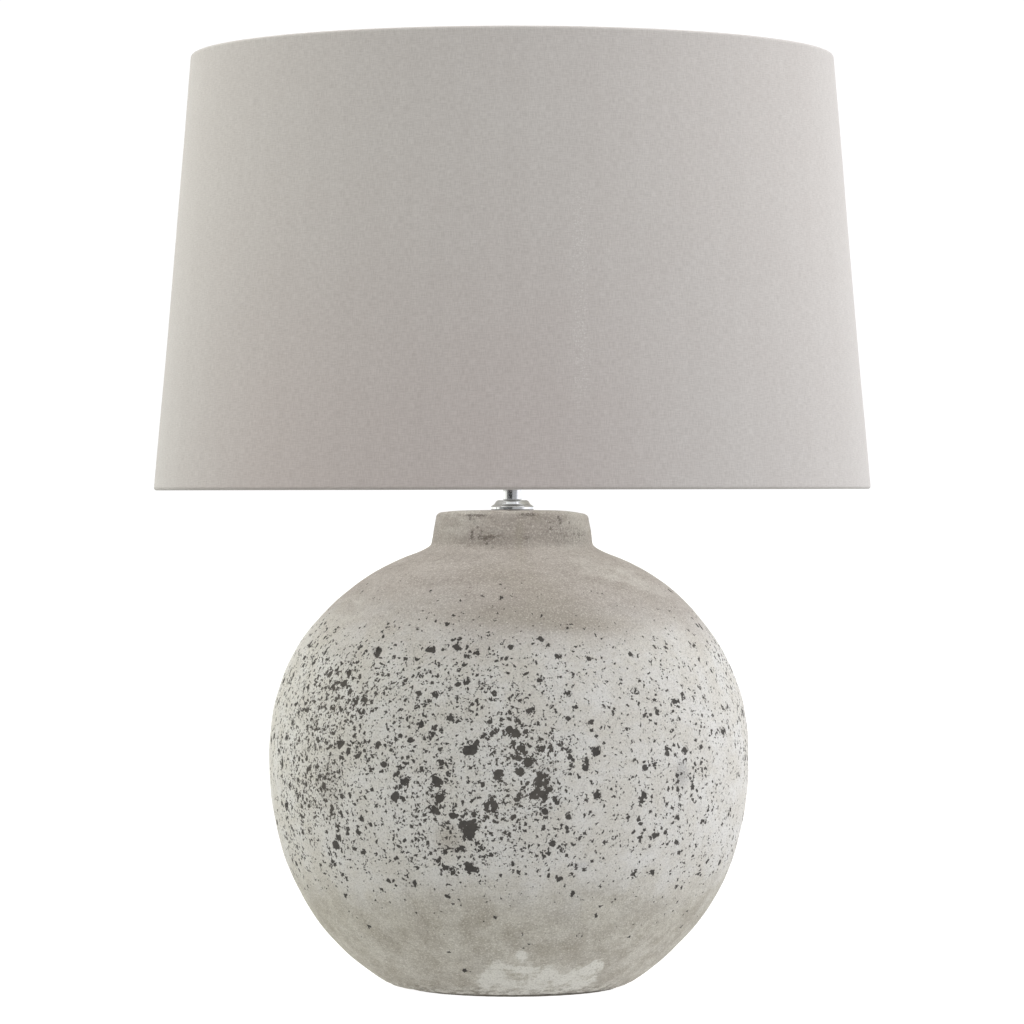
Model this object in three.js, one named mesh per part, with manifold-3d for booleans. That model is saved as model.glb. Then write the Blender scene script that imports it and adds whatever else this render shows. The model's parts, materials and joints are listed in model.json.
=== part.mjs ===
// Table lamp with a round ceramic base and a tapered drum shade, in millimetres, +Z up.
// The origin is the centre of the felt's underside, which rests on the table.
import * as THREE from "three";
import { mergeVertices } from "three/addons/utils/BufferGeometryUtils.js";
import Module from "manifold-3d";

// ---------------------------------------------------------------- driving dimensions
const GAP = 0.3; // between pieces that touch

const FELT = { radius: 67, thickness: 1.5 };

const CERAMIC = {
  footZ: FELT.thickness + GAP,
  footRadius: 72,
  footInner: 57,
  edgeRound: 3.5,
  bellyZ: 138.7,
  bellyRadius: 151.2,
  lowerHeight: 157, // of the two superellipse halves that meet at the belly
  lowerPower: 2.07,
  upperHeight: 144.8,
  upperPower: 2.31,
  neckBottomZ: 270,
  neckBottomRadius: 52.3,
  neckTopRadius: 47.7,
  neckFillet: 11.2,
  topZ: 300,
  wall: 6,
  rodHole: 5.6,
};

const OUTLET = { z: 62, bore: 5.5, waist: 7.2, hole: 7.8, flange: 10, flangeThickness: 1.3 };

// The hollow rod and what it clamps to the ceramic's top.
const ROD = { bore: 3.7, radius: 4.9, bottomZ: 277, topZ: 333, clearance: 5.3 };
const NUT = { acrossFlats: 14, bottomZ: 283.4, topZ: 288.9 };
const STEEL_WASHER = { radius: 17, bottomZ: 289.2, topZ: 290.9 };
const RUBBER_WASHER = { radius: 20, bottomZ: 291.2, topZ: 293.7 };
const GASKET = { radius: 11.3, topZ: 302 };
const VASE_CAP = { radius: 13.5, skirtBore: 11.8, ceilingZ: 302.3, coneRadius: 13.1, coneZ: 302.8 };
const STEM = { radius: 6, bore: 5.2, seatRadius: 9.2, seatZ: 306.4, bottomZ: 306.7, topZ: 322 };

const HOLDER = {
  bottomZ: STEM.topZ + GAP,
  neckRadius: 8.5,
  neckTopZ: 328,
  grubScrewZ: 325.5,
  floorZ: 334,
  capRadius: 22,
  capBore: 20.4,
  capTopZ: 352,
  flangeTopZ: 354.2,
  skirtBore: 16.5,
  skirtLip: 15.8,
  skirtTopZ: 392,
  threadMinor: 19.2,
  threadMajor: 19.8,
  threadPitch: 3.5,
  threadBottomZ: 355,
};
const INSULATOR = { radius: 19.8, bottomZ: 349.6, boss: 16, topZ: 358 };
const TERMINALS = { offset: 11.5, headRadius: 3.2, shankRadius: 1.9, bottomZ: 347, headZ: 349.2, topZ: 354 };
const CONTACT_BASE_Z = INSULATOR.topZ + GAP;
const SWITCH = { z: 343, radius: 2.5, hole: 3.1, left: -35, right: 29, contactOffset: 4.6 };
const SEAT = { bottomZ: 354.5, topZ: INSULATOR.topZ, inner: 20.1, outer: 24 };
const FITTER = { inner: 21, outer: 30, bottomZ: SEAT.topZ + GAP, thickness: 1.6 };
const RETAINER = { inner: 20.1, outer: 27, height: 5.8 };

const SHADE = {
  bottomZ: 313,
  topZ: 586,
  bottomRadius: 225,
  topRadius: 202.5,
  cover: 0.8,
  liner: 1.2,
  wireRadius: 1.8,
  arms: 3,
};

const BULB = {
  tipZ: 362.6,
  insulatorTopZ: 368.4,
  capTopZ: 389.6,
  collarRadius: 14.2,
  collarFlare: 14.6,
  collarTopZ: 427,
  globeZ: 436,
  globeRadius: 30,
};
const LED_BOARD = { radius: 26.4, bottomZ: 424.6, topZ: 426 };
const DRIVER_BOARD = { width: 16, thickness: 1.6, height: 36, z: 392 };
const E27 = { pitch: 3.62, capMinor: 12.3, capMajor: 13.1, shellMinor: 13.45, shellMajor: 14.15 };

const ROUND = 48; // sides of the ceramic
const DRUM = 72; // sides of the shade
const FINE = 24; // sides of the holder, rings and bulb
const SMALL = 16; // sides of the rod, grommet and bars
const TINY = 12; // sides of screws and small holes

// ---------------------------------------------------------------- materials
const MATERIALS = {
  ceramic: { color: 0xb9b4aa, roughness: 0.85, metalness: 0 },
  felt: { color: 0x3b3a38, roughness: 1, metalness: 0 },
  rubber: { color: 0x232323, roughness: 0.8, metalness: 0 },
  chrome: { color: 0xd9dadc, roughness: 0.08, metalness: 1 },
  steel: { color: 0xa9abad, roughness: 0.4, metalness: 1 },
  brass: { color: 0xc9a860, roughness: 0.3, metalness: 1 },
  nickel: { color: 0xc4c4be, roughness: 0.25, metalness: 1 },
  white_plastic: { color: 0xeceae4, roughness: 0.4, metalness: 0 },
  black_glass: { color: 0x141414, roughness: 0.2, metalness: 0 },
  porcelain: { color: 0xf2efe8, roughness: 0.3, metalness: 0 },
  frosted_globe: { color: 0xf6f4ee, roughness: 0.6, metalness: 0 },
  white_wire: { color: 0xe9e7e2, roughness: 0.5, metalness: 0 },
  circuit_board: { color: 0xe4e6e3, roughness: 0.5, metalness: 0 },
  shade_liner: { color: 0xf3efe6, roughness: 0.5, metalness: 0 },
  linen: { color: 0xbfb9b4, roughness: 0.95, metalness: 0 },
};

// ---------------------------------------------------------------- shape helpers
const wasm = await Module();
wasm.setup();

// Profile points are [radius, z]; the outside runs upwards.
function lathe(profile, sides) {
  const points = profile.map(([r, z]) => new THREE.Vector2(r, z));
  return new THREE.LatheGeometry(points, sides).rotateX(Math.PI / 2);
}

function closedLathe(profile, sides) {
  return lathe([...profile, profile[0]], sides);
}

function tubeRing(inner, outer, bottom, top, sides) {
  return closedLathe([[inner, bottom], [outer, bottom], [outer, top], [inner, top]], sides);
}

function rod(radius, bottom, top, sides) {
  return lathe([[0, bottom], [radius, bottom], [radius, top], [0, top]], sides);
}

function solid(geometry) {
  const bare = geometry.clone();
  bare.deleteAttribute("normal");
  bare.deleteAttribute("uv");
  const merged = mergeVertices(bare, 1e-3);
  const mesh = new wasm.Mesh({
    numProp: 3,
    vertProperties: new Float32Array(merged.attributes.position.array),
    triVerts: new Uint32Array(merged.index.array),
  });
  return new wasm.Manifold(mesh);
}

function fromSolid(manifold) {
  const mesh = manifold.getMesh();
  const geometry = new THREE.BufferGeometry();
  geometry.setAttribute("position", new THREE.BufferAttribute(mesh.vertProperties, 3));
  geometry.setIndex(new THREE.BufferAttribute(mesh.triVerts, 1));
  geometry.computeVertexNormals();
  return geometry;
}

function cut(geometry, ...tools) {
  let result = solid(geometry);
  for (const tool of tools) {
    result = result.subtract(solid(tool));
  }
  return fromSolid(result);
}

// A closed outline of points round the origin; radiusOf(i) is the distance of point i.
function outlineRound(count, radiusOf) {
  const points = [];
  for (let i = 0; i < count; i++) {
    const a = (i / count) * 2 * Math.PI;
    points.push(new THREE.Vector2(radiusOf(i) * Math.cos(a), radiusOf(i) * Math.sin(a)));
  }
  return new THREE.Shape(points);
}

// A plate between two heights, extruded from an outline with round holes [x, y, radius].
function plate(outline, holes, bottom, top) {
  for (const [x, y, radius] of holes) {
    const hole = new THREE.Path();
    hole.absarc(x, y, radius, 0, 2 * Math.PI, true);
    outline.holes.push(hole);
  }
  const options = { depth: top - bottom, bevelEnabled: false, curveSegments: TINY };
  return new THREE.ExtrudeGeometry(outline, options).translate(0, 0, bottom);
}

// A ring whose edge is fluted for the fingers.
function flutedRing(inner, outer, bottom, top) {
  const flutes = 24;
  const flute = 0.6;
  const outline = outlineRound(2 * flutes, (i) => outer - (i % 2) * flute);
  return plate(outline, [[0, 0, inner]], bottom, top);
}

// The outer side of a thread, as pointed rings of its pitch, from one height to another.
function threadRings(minor, major, pitch, bottom, top) {
  const points = [];
  const turns = Math.floor((top - bottom) / pitch);
  for (let i = 0; i < turns; i++) {
    const z = bottom + i * pitch;
    points.push([minor, z], [major, z + pitch / 2]);
  }
  points.push([minor, bottom + turns * pitch]);
  return points;
}

// ---------------------------------------------------------------- ceramic base
function ceramicRadius(z) {
  const c = CERAMIC;
  const low = z < c.bellyZ;
  const reach = Math.min(1, Math.abs(z - c.bellyZ) / (low ? c.lowerHeight : c.upperHeight));
  const body = c.bellyRadius * Math.sqrt(1 - reach ** (low ? c.lowerPower : c.upperPower));
  if (low) return body;
  const up = (z - c.neckBottomZ) / (c.topZ - c.neckBottomZ);
  const neck = c.neckBottomRadius + (c.neckTopRadius - c.neckBottomRadius) * up;
  const near = Math.max(0, 1 - Math.abs(body - neck) / c.neckFillet);
  return Math.max(body, neck) + (near * near * c.neckFillet) / 4;
}

function ceramicSlope(z) {
  const step = 0.5;
  return (ceramicRadius(z + step) - ceramicRadius(z - step)) / (2 * step);
}

function ceramicBody() {
  const c = CERAMIC;
  const outer = [];
  const addOuter = (z) => outer.push([ceramicRadius(z), z]);
  const lowest = c.footZ + c.edgeRound;
  const shoulderZ = 262;
  const rows = 8; // on each side of the belly, closer together away from it
  for (let i = 0; i < rows; i++) {
    addOuter(c.bellyZ - (c.bellyZ - lowest) * Math.cos((i / rows) * (Math.PI / 2)));
  }
  for (let i = 0; i <= rows; i++) {
    addOuter(c.bellyZ + (shoulderZ - c.bellyZ) * Math.sin((i / rows) * (Math.PI / 2)));
  }
  const filletHeights = [268, 272, 275, 278, 283];
  filletHeights.forEach(addOuter);
  const lipZ = c.topZ - c.edgeRound;
  addOuter(lipZ);
  const lipRadius = ceramicRadius(lipZ) - c.edgeRound;
  for (const a of [Math.PI / 6, Math.PI / 3, Math.PI / 2]) {
    outer.push([lipRadius + c.edgeRound * Math.cos(a), lipZ + c.edgeRound * Math.sin(a)]);
  }
  const ceilingZ = c.topZ - c.wall;
  const ceilingRadius = 36;
  const innerHeights = [284, 274, 262, 235, 195, 150, 105, 84, 70, 56, 42, 26, 14];
  const inner = innerHeights.map((z) => {
    const slope = ceramicSlope(z);
    const scale = c.wall / Math.hypot(1, slope);
    return [ceramicRadius(z) - scale, z + scale * slope];
  });
  const edge = c.footRadius - c.edgeRound;
  const profile = [
    [c.footInner, c.footZ],
    [edge, c.footZ],
    [edge + c.edgeRound * 0.7, c.footZ + c.edgeRound * 0.3],
    ...outer,
    [c.rodHole, c.topZ],
    [c.rodHole, ceilingZ],
    [ceilingRadius, ceilingZ],
    ...inner,
    [c.footInner, c.footZ + 8],
  ];
  const drillReach = 20;
  return cut(closedLathe(profile, ROUND), outletTool(rod(OUTLET.hole, -drillReach, drillReach, SMALL)));
}

// Turns a shape on the Z axis into the axis of the flex outlet, square to the lower back wall.
function outletTool(geometry) {
  const slope = ceramicSlope(OUTLET.z);
  geometry.rotateX(-Math.PI / 2 - Math.atan(slope));
  return geometry.translate(0, ceramicRadius(OUTLET.z), OUTLET.z);
}

// A rubber grommet: a flange outside, a waist through the wall and a smaller flange inside.
function flexGrommet() {
  const o = OUTLET;
  const outside = 0.2;
  const inside = -CERAMIC.wall - 0.9;
  const innerFlange = o.waist + 2;
  return outletTool(
    closedLathe(
      [
        [o.bore, inside - o.flangeThickness],
        [innerFlange, inside - o.flangeThickness],
        [innerFlange, inside],
        [o.waist, inside],
        [o.waist, outside],
        [o.flange, outside],
        [o.flange - 0.3, outside + 0.9],
        [o.flange - 1.5, outside + o.flangeThickness],
        [o.bore, outside + o.flangeThickness],
      ],
      SMALL,
    ),
  );
}

// ---------------------------------------------------------------- clamp and stem
function vaseCap() {
  const v = VASE_CAP;
  const bottom = CERAMIC.topZ + GAP;
  return closedLathe(
    [
      [v.skirtBore, bottom],
      [v.radius, bottom],
      [v.radius, v.ceilingZ],
      [v.coneRadius, v.coneZ],
      [STEM.seatRadius, STEM.seatZ],
      [STEM.bore, STEM.seatZ],
      [STEM.bore, v.ceilingZ],
      [v.skirtBore, v.ceilingZ],
    ],
    FINE,
  );
}

function washer(piece) {
  return tubeRing(ROD.clearance, piece.radius, piece.bottomZ, piece.topZ, FINE);
}

function hexNut() {
  const outline = outlineRound(6, () => NUT.acrossFlats / Math.sqrt(3));
  return plate(outline, [[0, 0, ROD.clearance]], NUT.bottomZ, NUT.topZ);
}

// ---------------------------------------------------------------- lampholder
function holderCap() {
  const h = HOLDER;
  const cup = closedLathe(
    [
      [ROD.clearance, h.bottomZ],
      [h.neckRadius, h.bottomZ],
      [h.neckRadius, h.neckTopZ],
      [16, h.neckTopZ + 3],
      [20.5, h.floorZ],
      [h.capRadius, h.floorZ + 3.5],
      [h.capRadius, h.capTopZ],
      [h.capBore, h.capTopZ],
      [h.capBore, h.floorZ + 4],
      [18.5, h.floorZ + 1],
      [ROD.clearance, h.floorZ],
    ],
    FINE,
  );
  const through = h.capRadius + 8;
  const barHole = rod(SWITCH.hole, -through, through, SMALL);
  barHole.rotateY(Math.PI / 2).translate(0, 0, SWITCH.z);
  return cut(cup, barHole, grubScrew(1.8, 4, 12));
}

// The screw that locks the holder on the rod, or its hole, between two distances from the axis.
function grubScrew(radius, near, far) {
  return rod(radius, near, far, TINY).rotateX(-Math.PI / 2).translate(0, 0, HOLDER.grubScrewZ);
}

function holderInsulator() {
  const n = INSULATOR;
  const block = lathe(
    [
      [0, n.bottomZ],
      [n.radius, n.bottomZ],
      [n.radius, HOLDER.capTopZ],
      [n.boss, HOLDER.capTopZ],
      [n.boss, n.topZ],
      [0, n.topZ],
    ],
    FINE,
  );
  const t = TERMINALS;
  const hole = () => rod(t.shankRadius + 0.5, n.bottomZ - 5, t.topZ + 1, TINY);
  return cut(block, hole().translate(0, t.offset, 0), hole().translate(0, -t.offset, 0));
}

function terminalScrew(y) {
  const t = TERMINALS;
  const screw = lathe(
    [
      [0, t.bottomZ],
      [t.headRadius, t.bottomZ],
      [t.headRadius, t.headZ],
      [t.shankRadius, t.headZ],
      [t.shankRadius, t.topZ],
      [0, t.topZ],
    ],
    TINY,
  );
  return screw.translate(0, y, 0);
}

// A bent strip, from its side view [x, z], with its width along Y.
function strip(points, width) {
  const outline = new THREE.Shape(points.map(([x, z]) => new THREE.Vector2(x, z)));
  const flat = new THREE.ExtrudeGeometry(outline, { depth: width, bevelEnabled: false });
  return flat.rotateX(Math.PI / 2).translate(0, width / 2, 0);
}

const STRIP = 0.6; // thickness of the brass strips

// The spring strip that rises to the bulb's tip.
function centreContact() {
  const low = CONTACT_BASE_Z;
  const high = low + 3.1;
  const end = 5;
  const outline = [[-11, low], [-3, low], [1, high], [end, high]];
  outline.push([end, high + STRIP], [0.8, high + STRIP], [-3.2, low + STRIP], [-11, low + STRIP]);
  return strip(outline, 6);
}

// A straight strip on edge, from its near face.
function uprightStrip(x, bottom, top, width) {
  return strip([[x, bottom], [x + STRIP, bottom], [x + STRIP, top], [x, top]], width);
}

function screwShell() {
  const wall = 0.5;
  const plainTop = CONTACT_BASE_Z + 3.2;
  const rings = threadRings(E27.shellMinor, E27.shellMajor, E27.pitch, plainTop, HOLDER.skirtTopZ - 8);
  const inside = [...rings].reverse();
  const outside = rings.map(([r, z]) => [r + wall, z]);
  const foot = [[E27.shellMinor, CONTACT_BASE_Z], [E27.shellMinor + wall, CONTACT_BASE_Z]];
  return closedLathe([...foot, ...outside, ...inside], SMALL);
}

function holderSkirt() {
  const h = HOLDER;
  const top = h.skirtTopZ;
  const threads = threadRings(h.threadMinor, h.threadMajor, h.threadPitch, h.threadBottomZ, top - 1.5);
  return closedLathe(
    [
      [h.skirtBore, h.capTopZ + GAP],
      [h.capRadius, h.capTopZ + GAP],
      [h.capRadius, h.flangeTopZ],
      [h.threadMinor, h.flangeTopZ],
      ...threads,
      [h.threadMinor - 0.6, top],
      [h.skirtLip, top],
      [h.skirtLip, top - 1.6],
      [h.skirtBore, top - 2.6],
    ],
    FINE,
  );
}

function switchBar() {
  const s = SWITCH;
  const chamfer = 0.8;
  const bar = lathe(
    [
      [0, s.left],
      [s.radius - chamfer, s.left],
      [s.radius, s.left + chamfer],
      [s.radius, s.right - chamfer],
      [s.radius - chamfer, s.right],
      [0, s.right],
    ],
    SMALL,
  );
  return bar.rotateY(Math.PI / 2).translate(0, 0, s.z);
}

// The brass sleeve on the bar that bridges the two fixed contacts.
function switchBridge() {
  const sleeve = tubeRing(SWITCH.radius + GAP, 5.4, -4.5, -2.5, SMALL);
  return sleeve.rotateY(Math.PI / 2).translate(0, 0, SWITCH.z);
}

// ---------------------------------------------------------------- bulb
function bulbCap() {
  const wall = 0.5;
  const mouth = 10;
  const mouthZ = BULB.insulatorTopZ - 0.6;
  const top = BULB.capTopZ;
  const inner = E27.capMinor - wall;
  const rings = threadRings(E27.capMinor, E27.capMajor, E27.pitch, mouthZ + 1.7, top - 0.8);
  const inside = [[inner, top], [inner, mouthZ + 2.4], [mouth, mouthZ + 0.8]];
  return closedLathe([[mouth, mouthZ], [mouth + 1, mouthZ], ...rings, [E27.capMinor, top], ...inside], FINE);
}

function bulbInsulator() {
  const low = BULB.tipZ + 2;
  const top = BULB.insulatorTopZ;
  return lathe([[0, low], [5, low], [9.6, top - 0.9], [9.6, top], [0, top]], FINE);
}

function bulbTip() {
  const z = BULB.tipZ;
  return lathe([[0, z], [3.4, z], [4.5, z + 0.9], [4.5, z + 1.7], [0, z + 1.7]], SMALL);
}

function bulbCollar() {
  const wall = 1.4;
  const bottom = BULB.capTopZ + GAP;
  const rows = 6;
  const side = [];
  for (let i = 0; i <= rows; i++) {
    const t = i / rows;
    const flare = BULB.collarRadius + BULB.collarFlare * Math.sin((t * Math.PI) / 2) ** 1.15;
    side.push([flare, bottom + (BULB.collarTopZ - bottom) * t]);
  }
  const inside = side.map(([r, z]) => [r - wall, z]).reverse();
  return closedLathe([...side, ...inside], FINE);
}

function bulbGlobe() {
  const wall = 1.2;
  const bottom = BULB.collarTopZ + GAP;
  const arc = (radius) => {
    const points = [];
    const from = Math.asin((bottom - BULB.globeZ) / radius);
    const rows = 7;
    for (let i = 0; i <= rows; i++) {
      const a = from + (Math.PI / 2 - from) * (i / rows);
      points.push([i === rows ? 0 : radius * Math.cos(a), BULB.globeZ + radius * Math.sin(a)]);
    }
    return points;
  };
  return lathe([...arc(BULB.globeRadius - wall).reverse(), ...arc(BULB.globeRadius)], FINE);
}

// ---------------------------------------------------------------- shade
function shadeRadius(z) {
  const s = SHADE;
  return s.bottomRadius + ((s.topRadius - s.bottomRadius) * (z - s.bottomZ)) / (s.topZ - s.bottomZ);
}

function shadeShell(inset, thickness) {
  const s = SHADE;
  const outer = (z) => shadeRadius(z) - inset;
  return closedLathe(
    [
      [outer(s.bottomZ) - thickness, s.bottomZ],
      [outer(s.bottomZ), s.bottomZ],
      [outer(s.topZ), s.topZ],
      [outer(s.topZ) - thickness, s.topZ],
    ],
    DRUM,
  );
}

const WIRE_INSET = SHADE.cover + GAP + SHADE.liner + GAP + SHADE.wireRadius;
const BOTTOM_WIRE_Z = SHADE.bottomZ + SHADE.wireRadius + 0.6;
const TOP_WIRE_Z = SHADE.topZ - SHADE.wireRadius - 0.6;

function shadeWire(z) {
  const slant = 0.2; // the liner leans over the ring by this much
  const radius = shadeRadius(z) - WIRE_INSET - slant;
  return new THREE.TorusGeometry(radius, SHADE.wireRadius, 6, DRUM).translate(0, 0, z);
}

// A wire arm from under the fitter ring down to the top of the bottom wire.
function shadeArm(angle) {
  const wire = SHADE.wireRadius;
  const innerZ = FITTER.bottomZ - GAP - wire;
  const outerZ = BOTTOM_WIRE_Z + 2 * wire + GAP;
  const start = (FITTER.inner + FITTER.outer) / 2;
  const reach = shadeRadius(outerZ) - WIRE_INSET + 0.6;
  const innerBend = [[start + 6.5, innerZ], [start + 13.5, innerZ - 1]];
  const outerBend = [[205, outerZ + 1.2], [212, outerZ]];
  const run = [[start, innerZ], ...innerBend, ...outerBend, [reach, outerZ]];
  const points = run.map(([r, z]) => new THREE.Vector3(r * Math.cos(angle), r * Math.sin(angle), z));
  const path = new THREE.CatmullRomCurve3(points, false, "centripetal");
  return new THREE.ExtrudeGeometry(outlineRound(8, () => wire), { steps: 14, extrudePath: path });
}

// ---------------------------------------------------------------- the assembly
const lamp = new THREE.Group();

function add(name, geometry, material) {
  const mesh = new THREE.Mesh(geometry, new THREE.MeshStandardMaterial(MATERIALS[material]));
  mesh.name = name;
  lamp.add(mesh);
}

add("base_felt", rod(FELT.radius, 0, FELT.thickness, ROUND), "felt");
add("ceramic_body", ceramicBody(), "ceramic");
add("flex_grommet", flexGrommet(), "rubber");

add("cap_gasket", washer({ ...GASKET, bottomZ: CERAMIC.topZ + GAP }), "rubber");
add("vase_cap", vaseCap(), "chrome");
add("stem_sleeve", tubeRing(STEM.bore, STEM.radius, STEM.bottomZ, STEM.topZ, FINE), "chrome");
add("threaded_rod", tubeRing(ROD.bore, ROD.radius, ROD.bottomZ, ROD.topZ, SMALL), "steel");
add("neck_rubber_washer", washer(RUBBER_WASHER), "rubber");
add("neck_steel_washer", washer(STEEL_WASHER), "steel");
add("neck_nut", hexNut(), "steel");

add("holder_cap", holderCap(), "white_plastic");
add("holder_grub_screw", grubScrew(1.5, ROD.clearance + 0.1, HOLDER.neckRadius + 0.1), "steel");
add("holder_insulator", holderInsulator(), "porcelain");
add("terminal_screw_live", terminalScrew(TERMINALS.offset), "brass");
add("terminal_screw_neutral", terminalScrew(-TERMINALS.offset), "brass");
add("centre_contact", centreContact(), "brass");
add("side_contact", uprightStrip(14.9, CONTACT_BASE_Z, CONTACT_BASE_Z + 7.7, 5), "brass");
add("holder_screw_shell", screwShell(), "brass");
add("holder_skirt", holderSkirt(), "white_plastic");
const switchContact = () => uprightStrip(4.4, SWITCH.z + 1.5, INSULATOR.bottomZ - GAP, 3);
add("switch_contact_live", switchContact().translate(0, SWITCH.contactOffset, 0), "brass");
add("switch_contact_load", switchContact().translate(0, -SWITCH.contactOffset, 0), "brass");

add("switch_bar", switchBar(), "white_plastic");
add("switch_bridge", switchBridge(), "brass");

add("shade_seat_ring", flutedRing(SEAT.inner, SEAT.outer, SEAT.bottomZ, SEAT.topZ), "white_plastic");
const retainerZ = FITTER.bottomZ + FITTER.thickness + GAP;
const retainer = flutedRing(RETAINER.inner, RETAINER.outer, retainerZ, retainerZ + RETAINER.height);
add("shade_retaining_ring", retainer, "white_plastic");

add("bulb_tip_contact", bulbTip(), "nickel");
add("bulb_cap_insulator", bulbInsulator(), "black_glass");
add("bulb_cap", bulbCap(), "nickel");
const driverBoard = new THREE.BoxGeometry(DRIVER_BOARD.width, DRIVER_BOARD.thickness, DRIVER_BOARD.height);
add("bulb_driver_board", driverBoard.translate(0, 0, DRIVER_BOARD.z), "circuit_board");
add("bulb_led_board", rod(LED_BOARD.radius, LED_BOARD.bottomZ, LED_BOARD.topZ, FINE), "circuit_board");
add("bulb_collar", bulbCollar(), "white_plastic");
add("bulb_globe", bulbGlobe(), "frosted_globe");

const fitterTopZ = FITTER.bottomZ + FITTER.thickness;
add("fitter_ring", tubeRing(FITTER.inner, FITTER.outer, FITTER.bottomZ, fitterTopZ, FINE), "white_wire");
for (let i = 0; i < SHADE.arms; i++) {
  const angle = Math.PI / 3 + (i / SHADE.arms) * 2 * Math.PI;
  add(`shade_arm_${i + 1}`, shadeArm(angle), "white_wire");
}
add("shade_bottom_wire", shadeWire(BOTTOM_WIRE_Z), "white_wire");
add("shade_top_wire", shadeWire(TOP_WIRE_Z), "white_wire");
add("shade_liner", shadeShell(SHADE.cover + GAP, SHADE.liner), "shade_liner");
add("shade_cover", shadeShell(0, SHADE.cover), "linen");

export default lamp;
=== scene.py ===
"""The looks of a table lamp: a pitted, whitewashed ceramic base and a grey linen drum shade."""
import json
import math
import random

import bpy
import numpy as np
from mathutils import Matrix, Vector, noise


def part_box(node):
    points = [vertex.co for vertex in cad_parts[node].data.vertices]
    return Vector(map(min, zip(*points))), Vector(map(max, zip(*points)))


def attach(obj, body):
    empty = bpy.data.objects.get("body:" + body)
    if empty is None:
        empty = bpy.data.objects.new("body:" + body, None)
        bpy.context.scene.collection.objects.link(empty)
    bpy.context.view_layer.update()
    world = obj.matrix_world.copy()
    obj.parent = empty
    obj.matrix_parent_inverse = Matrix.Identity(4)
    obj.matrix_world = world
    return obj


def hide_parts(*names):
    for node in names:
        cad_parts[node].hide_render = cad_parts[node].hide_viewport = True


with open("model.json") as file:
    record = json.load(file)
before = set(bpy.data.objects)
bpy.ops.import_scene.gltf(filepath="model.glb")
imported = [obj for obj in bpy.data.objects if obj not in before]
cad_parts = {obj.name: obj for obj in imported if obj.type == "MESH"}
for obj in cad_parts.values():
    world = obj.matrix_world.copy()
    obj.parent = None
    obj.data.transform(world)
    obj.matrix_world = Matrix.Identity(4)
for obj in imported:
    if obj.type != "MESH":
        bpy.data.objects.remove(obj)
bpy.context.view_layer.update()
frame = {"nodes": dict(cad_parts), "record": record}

MM = 0.001
TAU = 2 * math.pi
SLOTS = {row["node"]: row["material_slot"] for row in frame["record"]["subparts"]}
GROUPS = frame["record"]["behaviour"]["bodies"]
BODIES = {node: body for body, nodes in GROUPS.items() for node in nodes}


def box_mm(node):
    """A CAD node's lowest and highest corners in millimetres."""
    low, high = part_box(node)
    return low / MM, high / MM


def middle_z(node):
    low, high = box_mm(node)
    return (low.z + high.z) / 2


# ---- sizes, in millimetres
CERAMIC_LOW, CERAMIC_HIGH = box_mm("ceramic_body")
FOOT_Z, LIP_Z = CERAMIC_LOW.z, CERAMIC_HIGH.z
BELLY_Z = 138.7
BELLY_RADIUS = 151.2
LOWER_HEIGHT, LOWER_POWER = 157.0, 2.07
UPPER_HEIGHT, UPPER_POWER = 144.8, 2.31
NECK_Z = 270.0
NECK_RADIUS, NECK_TOP_RADIUS = 52.3, 47.7
NECK_FILLET = 11.2
FOOT_RADIUS, FOOT_INNER = 72.0, 57.0
EDGE_ROUND = 3.5
WALL = 6.0
ROD_HOLE = 5.6
OUTLET_Z, OUTLET_RADIUS = 62.0, 7.8
LEAN = 2.1
LIP_WEAR = (2.2, 1.3)
CERAMIC_COLUMNS = 560

COVER_LOW, COVER_HIGH = box_mm("shade_cover")
SHADE_BOTTOM, SHADE_TOP = COVER_LOW.z, COVER_HIGH.z
SHADE_BOTTOM_RADIUS = COVER_HIGH.x
SHADE_TOP_RADIUS = 202.5
COVER_THICKNESS = 0.6
LINER_THICKNESS = 0.9
WIRE_RADIUS = 1.8
HEM = 9.0
RING_BORE, FITTER_BORE = 20.1, 21.0
LAMP_PITCH = 3.62

# ---- studio light
DARK_SIDE, BRIGHT_SIDE, TOP_LIGHT = 0.55, 2.0, 0.12
BRIGHT_TURN = 8
# Dark upright strips of the studio that the chrome shows: (left edge, right edge, share of the light kept).
# An edge is an angle about the lamp in radians, 0 towards the camera and below zero to the left of it.
DARK_STRIPS = ((-1.70, -1.62, 0.4), (-1.25, -0.90, 0.6), (-0.86, -0.02, 0.05))


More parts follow.
